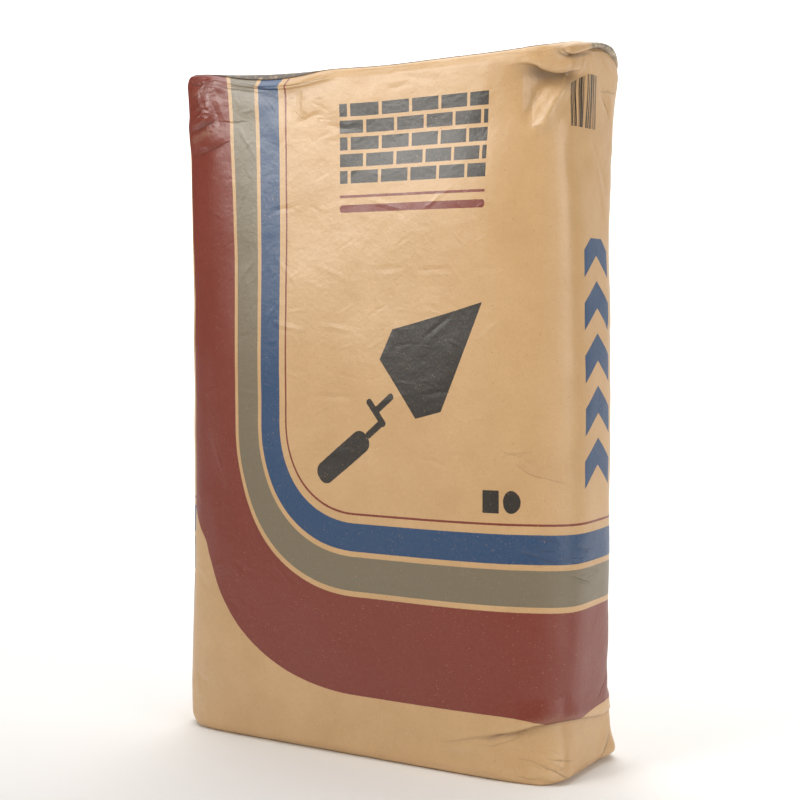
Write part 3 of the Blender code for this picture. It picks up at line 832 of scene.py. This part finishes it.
# The paper: brown sack kraft, cloudy over about 40 mm, with long fibres, a few dark specks and
# pale rubbed creases. The print is flat flexographic ink in four colours, with soft coverage.
INKS = {"red": "#772412", "grey": "#756a55", "blue": "#0e3f69", "charcoal": "#17130f"}
LAP_U = 0.717
LAP_LINE = 0.0006
LAP_STEP = 0.0004
LAP_SHADE = 0.5
WEAR_SHARE = 0.35
HOLLOW_SHADE = 0.80
PRINT_REPEAT = 0.567
PRINT_START = 0.225
CORNER_U = -0.082
CORNER_V = 0.218
CORNER_RADIUS = 0.090
WANDER = 0.0016
TROWEL_TURN = 38.0
# Nested bands round the lower left corner: ink, distance of the middle, half width
BANDS = (("blue", 0.013, 0.013), ("grey", 0.047, 0.016), ("red", 0.1140, 0.0460), ("red", -0.0085, 0.0010))
# Blocks of ink: ink, centre u and v, half width and height, corner radius, turn in degrees
BLOCKS = (
    ("red", 0.0735, 0.5040, 0.0835, 0.0035, 0.003, 0),
    ("red", 0.0735, 0.5150, 0.0835, 0.0012, 0.001, 0),
    ("charcoal", -0.0050, 0.2780, 0.0330, 0.0105, 0.009, TROWEL_TURN),
    ("charcoal", 0.0300, 0.3050, 0.0120, 0.0032, 0.003, TROWEL_TURN),
    ("charcoal", 0.0320, 0.3200, 0.0032, 0.0150, 0.003, TROWEL_TURN),
    ("charcoal", 0.0400, 0.3280, 0.0140, 0.0032, 0.003, TROWEL_TURN),
    ("charcoal", 0.1670, 0.2460, 0.0100, 0.0100, 0.001, 0),
    ("charcoal", 0.1920, 0.2460, 0.0100, 0.0100, 0.010, 0),
)
BLADE_AT = (0.0780, 0.3590, 0.0)
BLADE_HALVES = (0.098, 0.046, 1.0)
BLADE_BLUNT = -0.28
BRICK_WIDTH = 0.0334
BRICK_ROW = 0.0150
MORTAR = 0.0018
CHEVRON_SLOPE = 0.75
CHEVRON_PITCH = 0.046
CHEVRON_WIDTH = 0.024
STRIPES = (760.0, 6.0, 1.0)
# Windows of the sheet: centre u and v, half width and half height
BRICK_WINDOW = (0.0735, 0.5625, 0.0835, 0.0375)
CHEVRON_WINDOW = (HALF_WIDTH + HALF_DEPTH, 0.365, 0.026, 0.110)
STRIPE_WINDOW = (0.2570, 0.5825, 0.0230, 0.0155)
# Wrinkles of crumpled paper in the bump: size and height
WRINKLES = ((0.030, 0.0016), (0.013, -0.0008), (0.006, 0.0003))


def kraft_colour(add, at, along, fibre_scale):
    """Colour of sack kraft from its clouds, fibres, grain and specks, the cloudiness and the grain."""
    grain = add("TexNoise", {"Vector": at, "Scale": 420.0, "Detail": 3.0, "Roughness": 0.7})
    stretch = add("Mapping", {"Vector": along, "Scale": fibre_scale})
    fibre = add("TexNoise", {"Vector": stretch, "Scale": 1.0, "Detail": 2.0})
    cloud = add("TexNoise", {"Vector": at, "Scale": 24.0, "Detail": 4.0, "Roughness": 0.6})
    speck = add("TexNoise", {"Vector": at, "Scale": 700.0, "Detail": 1.0})
    cloudy = add("MapRange", {"Value": cloud, "From Min": 0.3, "From Max": 0.7})
    colour = add("MixRGB", {"Fac": cloudy, "Color1": linear("#c59e6e"), "Color2": linear("#cfa97a")})
    for source, low, high, most, tint in (
            (grain, 0.25, 0.75, 0.35, "#b58f63"), (fibre, 0.62, 0.80, 0.35, "#dcc196"),
            (speck, 0.74, 0.78, 0.60, "#6b4f35")):
        share = add("MapRange", {"Value": source, "From Min": low, "From Max": high, "To Max": most})
        colour = add("MixRGB", {"Fac": share, "Color1": colour, "Color2": linear(tint)})
    return colour, cloudy, grain


material, add = new_material("printed_sack_kraft")
at = add("TexCoord").outputs["Object"]
sheet_uv = add("UVMap", uv_map="sheet").outputs["UV"]
paper, cloudy, grain = kraft_colour(add, at, sheet_uv, (900.0, 140.0, 1.0))

# The print, whose place on the sheet repeats on the back; its edges are slightly ragged
ragged = add("VectorMath", {
    0: grain.outputs["Color"], 1: (0.0006, 0.0006, 0.0), 2: sheet_uv}, operation="MULTIPLY_ADD")
split = add("SeparateXYZ", {"Vector": ragged})
u_in = add("Math", {0: split.outputs["X"], 1: PRINT_START}, operation="ADD")
u_in = add("Math", {0: u_in, 1: PRINT_REPEAT}, operation="FLOORED_MODULO")
u_in = add("Math", {0: u_in, 1: PRINT_START}, operation="SUBTRACT")
v_in = split.outputs["Y"]
uv_in = add("CombineXYZ", {"X": u_in, "Y": v_in})

covers = {ink: [] for ink in INKS}
from_bend = add("VectorMath", {
    0: (CORNER_U + CORNER_RADIUS, CORNER_V + CORNER_RADIUS, 0.0), 1: uv_in}, operation="SUBTRACT")
from_bend = add("VectorMath", {0: from_bend, 1: (0.0, 0.0, 0.0)}, operation="MAXIMUM")
from_bend = add("VectorMath", {0: from_bend}, operation="LENGTH").outputs["Value"]
for ink, distance, half_width in BANDS:
    covers[ink].append(add("Math", {
        0: from_bend, 1: distance + CORNER_RADIUS, 2: half_width}, operation="COMPARE"))
for ink, centre_u, centre_v, half_u, half_v, radius, turn in BLOCKS:
    spot = add("Mapping", {
        "Vector": uv_in, "Location": (centre_u, centre_v, 0.0), "Rotation": (0.0, 0.0, radians(turn))},
        vector_type="TEXTURE")
    spot = add("VectorMath", {0: spot}, operation="ABSOLUTE")
    spot = add("VectorMath", {0: spot, 1: (half_u - radius, half_v - radius, 0.0)}, operation="SUBTRACT")
    spot = add("VectorMath", {0: spot, 1: (0.0, 0.0, 0.0)}, operation="MAXIMUM")
    spot = add("VectorMath", {0: spot}, operation="LENGTH").outputs["Value"]
    covers[ink].append(add("Math", {0: spot, 1: radius}, operation="LESS_THAN"))

# A trowel blade, a wall of bricks and, on the sides, a column of chevrons and a striped patch
blade = add("Mapping", {
    "Vector": uv_in, "Location": BLADE_AT, "Rotation": (0.0, 0.0, radians(TROWEL_TURN)),
    "Scale": BLADE_HALVES}, vector_type="TEXTURE")
blunt = add("SeparateXYZ", {"Vector": blade}).outputs["X"]
blunt = add("Math", {0: blunt, 1: BLADE_BLUNT}, operation="GREATER_THAN")
blade = add("VectorMath", {0: blade}, operation="ABSOLUTE")
blade = add("VectorMath", {0: blade, 1: (1.0, 1.0, 0.0)}, operation="DOT_PRODUCT").outputs["Value"]
blade = add("Math", {0: blade, 1: 1.0}, operation="LESS_THAN")
covers["charcoal"].append(add("Math", {0: blade, 1: blunt}, operation="MULTIPLY"))


def inside(motif, centre_u, centre_v, half_u, half_v):
    """The motif inside an upright window of the sheet."""
    in_u = add("Math", {0: u_in, 1: centre_u, 2: half_u}, operation="COMPARE")
    in_v = add("Math", {0: v_in, 1: centre_v, 2: half_v}, operation="COMPARE")
    in_both = add("Math", {0: in_u, 1: in_v}, operation="MULTIPLY")
    return add("Math", {0: motif, 1: in_both}, operation="MULTIPLY")


WHITE, BLACK = (1.0, 1.0, 1.0, 1.0), (0.0, 0.0, 0.0, 1.0)
bricks = add("TexBrick", {
    "Vector": uv_in, "Color1": WHITE, "Color2": WHITE, "Mortar": BLACK,
    "Scale": 1.0, "Mortar Size": MORTAR, "Brick Width": BRICK_WIDTH, "Row Height": BRICK_ROW})
covers["charcoal"].append(inside(bricks, *BRICK_WINDOW))

across = add("Math", {0: u_in, 1: HALF_WIDTH + HALF_DEPTH}, operation="SUBTRACT")
across = add("Math", {0: across}, operation="ABSOLUTE")
slant = add("Math", {0: across, 1: CHEVRON_SLOPE, 2: v_in}, operation="MULTIPLY_ADD")
slant = add("Math", {0: slant, 1: CHEVRON_PITCH}, operation="FLOORED_MODULO")
slant = add("Math", {0: slant, 1: CHEVRON_WIDTH}, operation="LESS_THAN")
covers["blue"].append(inside(slant, *CHEVRON_WINDOW))

stripes = add("Mapping", {"Vector": uv_in, "Scale": STRIPES})
stripes = add("TexNoise", {"Vector": stripes, "Scale": 1.0, "Detail": 1.0})
stripes = add("Math", {0: stripes, 1: 0.50}, operation="GREATER_THAN")
covers["charcoal"].append(inside(stripes, *STRIPE_WINDOW))

# Ink lies thinner on the grain and misses a few flecks
coverage = add("MapRange", {
    "Value": grain, "From Min": 0.35, "From Max": 0.80, "To Min": 0.995, "To Max": 0.94})
fleck = add("TexNoise", {"Vector": at, "Scale": 800.0, "Detail": 0.0})
fleck = add("MapRange", {"Value": fleck, "From Min": 0.77, "From Max": 0.82, "To Min": 1.0, "To Max": 0.65})
coverage = add("Math", {0: coverage, 1: fleck}, operation="MULTIPLY")
for ink, masks in covers.items():
    cover = 0.0
    for mask in masks:
        cover = add("Math", {0: cover, 1: mask}, operation="MAXIMUM")
    cover = add("Math", {0: cover, 1: coverage}, operation="MULTIPLY")
    paper = add("MixRGB", {"Fac": cover, "Color1": paper, "Color2": linear(INKS[ink])})

# Mottled grey-brown on the valve's lip, pale rubbed ridges, painted shade in the hollows and the edge of the
# back's lap
mottle = add("TexNoise", {"Vector": at, "Scale": 190.0, "Detail": 4.0, "Roughness": 0.65})
mottle = add("MapRange", {"Value": mottle, "From Min": 0.40, "From Max": 0.62})
lip_grey = add("MixRGB", {"Fac": mottle, "Color1": linear("#6d5f50"), "Color2": linear("#b7a78e")})
lip_here = add("Attribute", attribute_name="lip").outputs["Fac"]
lipped = add("MixRGB", {"Fac": lip_here, "Color1": paper, "Color2": lip_grey})
rubbed_here = add("Attribute", attribute_name="rubbed").outputs["Fac"]
wear_and_shade = add("Math", {0: rubbed_here, 1: cloudy}, operation="MULTIPLY")
wear_and_shade = add("Math", {0: wear_and_shade, 1: WEAR_SHARE}, operation="MULTIPLY")
wear_and_shade = add("MixRGB", {"Fac": wear_and_shade, "Color1": lipped, "Color2": linear("#dcc6a4")})

# Painted shade in the recesses under folds and lips and in deep valleys, joined below by the dark lines of
# the sharp creases
recess_shade_here = add("Attribute", attribute_name="hollow").outputs["Fac"]
shaded = add("Math", {0: recess_shade_here, 1: HOLLOW_SHADE}, operation="MULTIPLY")
wander = add("TexNoise", {"Vector": at, "Scale": 110.0, "Detail": 2.0})
wander = add("MapRange", {"Value": wander, "To Min": -WANDER, "To Max": WANDER})
relief = 0.0
half_widths = [layer[0] for layer in SHARP_LAYERS] + [crinkle[2] for crinkle in CRINKLES]
for number, half_width in enumerate(half_widths):
    line = add("Attribute", attribute_name=f"sharp_{number}").outputs["Vector"]
    line = add("SeparateXYZ", {"Vector": line}).outputs
    off = add("Math", {0: line["X"], 1: wander}, operation="ADD")
    off = add("Math", {0: off}, operation="ABSOLUTE")
    tent = add("MapRange", {"Value": off, "From Max": half_width / 1000, "To Min": 1.0, "To Max": 0.0})
    relief = add("Math", {0: tent, 1: line["Y"], 2: relief}, operation="MULTIPLY_ADD")
    # Painted shade: a dark hairline down each crease, as strong as its shade
    dark = add("MapRange", {
        "Value": off, "From Min": 0.0002, "From Max": 0.0008, "To Min": 1.0, "To Max": 0.0})
    dark = add("Math", {0: dark, 1: line["Z"]}, operation="MULTIPLY")
    shaded = add("Math", {0: shaded, 1: dark}, operation="MAXIMUM")
# The painted shade darkens the colour towards dark brown
wear_and_shade = add("MixRGB", {"Fac": shaded, "Color1": wear_and_shade, "Color2": linear("#35261b")})
sheet_u = add("SeparateXYZ", {"Vector": sheet_uv})
lap_line = add("Math", {0: sheet_u, 1: LAP_U, 2: LAP_LINE}, operation="COMPARE")
lap_line = add("Math", {0: lap_line, 1: LAP_SHADE}, operation="MULTIPLY")
wear_and_shade = add("MixRGB", {"Fac": lap_line, "Color1": wear_and_shade, "Color2": linear("#5d4631")})

# Finer wrinkles, the step of the lap and the paper's grain are bump
crumple_here = add("Attribute", attribute_name="crumple").outputs["Fac"]
bend = add("TexNoise", {"Vector": at, "Scale": 20.0, "Detail": 2.0})
bend = add("VectorMath", {
    0: bend.outputs["Color"], 1: (0.012, 0.012, 0.012), 2: at}, operation="MULTIPLY_ADD")
wrinkle = add("TexNoise", {"Vector": bend, "Scale": 60.0, "Detail": 5.0, "Roughness": 0.6})
relief = add("Math", {0: wrinkle, 1: 0.0006, 2: relief}, operation="MULTIPLY_ADD")
lap = add("MapRange", {
    "Value": sheet_u, "From Min": LAP_U - LAP_STEP, "From Max": LAP_U + LAP_STEP, "To Max": LAP_STEP})
relief = add("Math", {0: relief, 1: lap}, operation="ADD")
for size, height in WRINKLES:
    crease = add("TexNoise", {"Vector": bend, "Scale": 1.0 / size, "Detail": 0.0})
    crease = add("Math", {0: crease, 1: 0.5}, operation="SUBTRACT")
    crease = add("Math", {0: crease}, operation="ABSOLUTE")
    share = add("MapRange", {"Value": crumple_here, "To Min": 0.10 * height, "To Max": height})
    relief = add("Math", {0: crease, 1: share, 2: relief}, operation="MULTIPLY_ADD")
bump = add("Bump", {"Height": relief, "Strength": 1.0, "Distance": 1.0})
fine = add("Bump", {"Height": grain, "Strength": 0.5, "Distance": 0.0002, "Normal": bump})
finish_material(add, {
    "Base Color": wear_and_shade, "Roughness": 0.40, "Specular IOR Level": 0.78, "Normal": fine})
sack_mesh.materials.append(material)


# Cement fill
# Fifty kilograms of grey cement powder, blown in through the valve and settled against the
# paper, so it takes the sack's own form just inside the plies and leaves room for the valve.
FILL_CLEARANCE = 0.0012
FOLD_CLEARANCE = 0.0085
FILL_DROP = 0.0060
FILL_BACK = 0.0060
FILL_DETAIL = 0.12
# Where the powder gives way to the valve: along the width, half the depth, the height, and the
# parts of the width and height where it also draws back from the right side
VALVE_WIDTH = (0.060, 0.085)
VALVE_DEPTH = (0.048, 0.060)
VALVE_HEIGHT = (0.560, 0.625)
VALVE_BACK_WIDTH = (0.195, 0.204)
VALVE_BACK_HEIGHT = (0.600, 0.625)
x, y, z = place.T
fill_place = place - normals * (FILL_CLEARANCE + FOLD_CLEARANCE * folded)[:, None]
under_valve = ease(x, *VALVE_WIDTH) * (1.0 - ease(np.abs(y), *VALVE_DEPTH))
fill_place[:, 2] -= FILL_DROP * under_valve * ease(z, *VALVE_HEIGHT)
fill_place[:, 0] -= FILL_BACK * under_valve * ease(x, *VALVE_BACK_WIDTH) * ease(z, *VALVE_BACK_HEIGHT)
bm = cell_cube()
for vert, spot in zip(bm.verts, fill_place):
    vert.co = spot
raw_mesh = new_mesh("raw_fill", bm)
raw = new_object("raw_fill", raw_mesh)
raw.modifiers.new("thin", "DECIMATE").ratio = FILL_DETAIL
graph = bpy.context.evaluated_depsgraph_get()
fill_mesh = bpy.data.meshes.new_from_object(raw.evaluated_get(graph))
fill_mesh.name = "cement_fill"
bpy.data.objects.remove(raw)
bpy.data.meshes.remove(raw_mesh)
fill_mesh.shade_smooth()
fill = new_object("settled_cement_fill", fill_mesh)
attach(fill, "root")
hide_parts("cement_fill")
# Dry grey Portland cement powder, matt, packed into small lumps
material, add = new_material("grey_cement_powder")
at = add("TexCoord").outputs["Object"]
lumps = add("TexNoise", {"Vector": at, "Scale": 350.0, "Detail": 6.0, "Roughness": 0.7})
shade = add("MixRGB", {"Fac": lumps, "Color1": linear("#8f8e8a"), "Color2": linear("#a9a8a3")})
bump = add("Bump", {"Height": lumps, "Strength": 0.6, "Distance": 0.0008})
finish_material(add, {"Base Color": shade, "Roughness": 0.95, "Normal": bump})
fill_mesh.materials.append(material)


# End patches
# A strip of the same kraft pasted over the folded block at each end. The upper one carries a
# worn band of dark print along its front edge, and the lower one is what the bag stands on.
PATCH_HALF_LENGTH = 0.194
PATCH_HALF_WIDTH = 0.0680
PATCH_GAP = 0.00025
PATCH_THICKNESS = 0.0003
BAND_WIDTH = 0.016
FLAP_STEP = 0.0004
FLAP_SLOPE = 0.0008
END_FLAP = 0.120
LONG_FLAP = 0.010
# Brown sack kraft of one ply, like the sack's own but less glossy
patch_kraft, add = new_material("patch_kraft")
at = add("TexCoord").outputs["Object"]
spot = add("SeparateXYZ", {"Vector": at}).outputs
colour, _, grain = kraft_colour(add, at, at, (140.0, 900.0, 140.0))
# The printed band is worn through to pale paper along the ridges
wear = add("TexNoise", {"Vector": at, "Scale": 240.0, "Detail": 4.0, "Roughness": 0.75})
wear = add("MapRange", {"Value": wear, "From Min": 0.54, "From Max": 0.64, "To Min": 0.92, "To Max": 0.25})
band = add("Math", {0: spot["Y"], 1: BAND_WIDTH - PATCH_HALF_WIDTH}, operation="LESS_THAN")
upper = add("Math", {0: spot["Z"], 1: HEIGHT / 2}, operation="GREATER_THAN")
band = add("Math", {0: band, 1: upper}, operation="MULTIPLY")
band = add("Math", {0: band, 1: wear}, operation="MULTIPLY")
colour = add("MixRGB", {"Fac": band, "Color1": colour, "Color2": linear(INKS["charcoal"])})
# The folded flaps beneath show through as low steps: one along the middle, one slanting at each end
along = add("Math", {0: spot["X"]}, operation="ABSOLUTE")
over = add("Math", {0: spot["Y"]}, operation="ABSOLUTE")
slant = add("Math", {0: along, 1: over}, operation="SUBTRACT")
relief = add("Math", {0: grain, 1: 0.00010}, operation="MULTIPLY")
for value, edge in ((slant, END_FLAP), (spot["Y"], LONG_FLAP)):
    step = add("MapRange", {
        "Value": value, "From Min": edge - FLAP_SLOPE, "From Max": edge + FLAP_SLOPE, "To Max": FLAP_STEP})
    relief = add("Math", {0: relief, 1: step}, operation="ADD")
bump = add("Bump", {"Height": relief, "Strength": 1.0, "Distance": 1.0})
finish_material(add, {"Base Color": colour, "Roughness": 0.5, "Specular IOR Level": 0.6, "Normal": bump})

for name, node, end in (("pasted_top_patch", "top_end_patch", 1.0),
                        ("pasted_bottom_patch", "bottom_end_patch", -1.0)):
    bm = bmesh.new()
    bm.from_mesh(sack_mesh)
    bm.verts.ensure_lookup_table()
    bm.faces.ensure_lookup_table()
    within = (np.abs(box[:, 0]) < PATCH_HALF_LENGTH) & (np.abs(box[:, 1]) < PATCH_HALF_WIDTH)
    covered = (unit[:, 2] * end > ON_FACE) & within
    spare = [vert for vert in bm.verts if vert.index >= count or not covered[vert.index]]
    bmesh.ops.delete(bm, geom=spare, context="VERTS")
    for vert in bm.verts:
        vert.co += vert.normal * PATCH_GAP
    under = bmesh.ops.duplicate(bm, geom=bm.verts[:] + bm.edges[:] + bm.faces[:])["geom"]
    bmesh.ops.reverse_faces(bm, faces=[item for item in under if isinstance(item, bmesh.types.BMFace)])
    lower = {item for item in under if isinstance(item, bmesh.types.BMVert)}
    for vert in bm.verts:
        if vert not in lower:
            vert.co += vert.normal * PATCH_THICKNESS
    rims = [edge for edge in bm.edges if edge.is_boundary]
    bmesh.ops.bridge_loops(bm, edges=rims)
    bmesh.ops.recalc_face_normals(bm, faces=bm.faces)
    patch_mesh = new_mesh(node, bm)
    if end < 0.0:
        lift = min(vert.co.z for vert in patch_mesh.vertices)
        for vert in patch_mesh.vertices:
            vert.co.z = max(vert.co.z - lift, 0.0)
    patch = new_object(name, patch_mesh)
    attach(patch, "root")
    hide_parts(node)
    patch_mesh.materials.clear()
    patch_mesh.materials.append(patch_kraft)


# Valve sleeve
# A flat tube of lighter kraft pasted into the upper corner. The filling spout went in through
# it, and the powder behind has pressed it shut, so only its mouth shows in the slot.
SLEEVE_HALF_WIDTH = 0.042
SLEEVE_INNER_END = 0.084
SLEEVE_OUTER_END = 0.2055
SLEEVE_SPACE = 0.0004
SLEEVE_THICKNESS = 0.0010
ROOF_END = 0.200
bm = bmesh.new()
bmesh.ops.create_grid(bm, x_segments=24, y_segments=16, size=1.0)
for vert in bm.verts:
    x = SLEEVE_INNER_END + (vert.co.x + 1.0) / 2 * (SLEEVE_OUTER_END - SLEEVE_INNER_END)
    y = vert.co.y * SLEEVE_HALF_WIDTH
    above = skin.ray_cast(Vector((min(x, ROOF_END), y, 1.0)), Vector((0.0, 0.0, -1.0)))[0].z
    vert.co = (x, y, above - POCKET_ROOF - SLEEVE_SPACE)
made = bmesh.ops.extrude_face_region(bm, geom=bm.faces[:])["geom"]
lower = [item for item in made if isinstance(item, bmesh.types.BMVert)]
bmesh.ops.translate(bm, vec=(0.0, 0.0, -SLEEVE_THICKNESS), verts=lower)
bmesh.ops.recalc_face_normals(bm, faces=bm.faces)
sleeve_mesh = new_mesh("valve_sleeve", bm)
sleeve = new_object("kraft_valve_sleeve", sleeve_mesh)
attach(sleeve, "root")
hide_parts("valve_sleeve")
# Thin brown kraft of one ply, uncoated
material, add = new_material("sleeve_kraft")
at = add("TexCoord").outputs["Object"]
fibres = add("TexNoise", {"Vector": at, "Scale": 300.0, "Detail": 4.0})
shade = add("MixRGB", {"Fac": fibres, "Color1": linear("#8d7256"), "Color2": linear("#a98c69")})
finish_material(add, {"Base Color": shade, "Roughness": 0.8})
sleeve_mesh.materials.append(material)
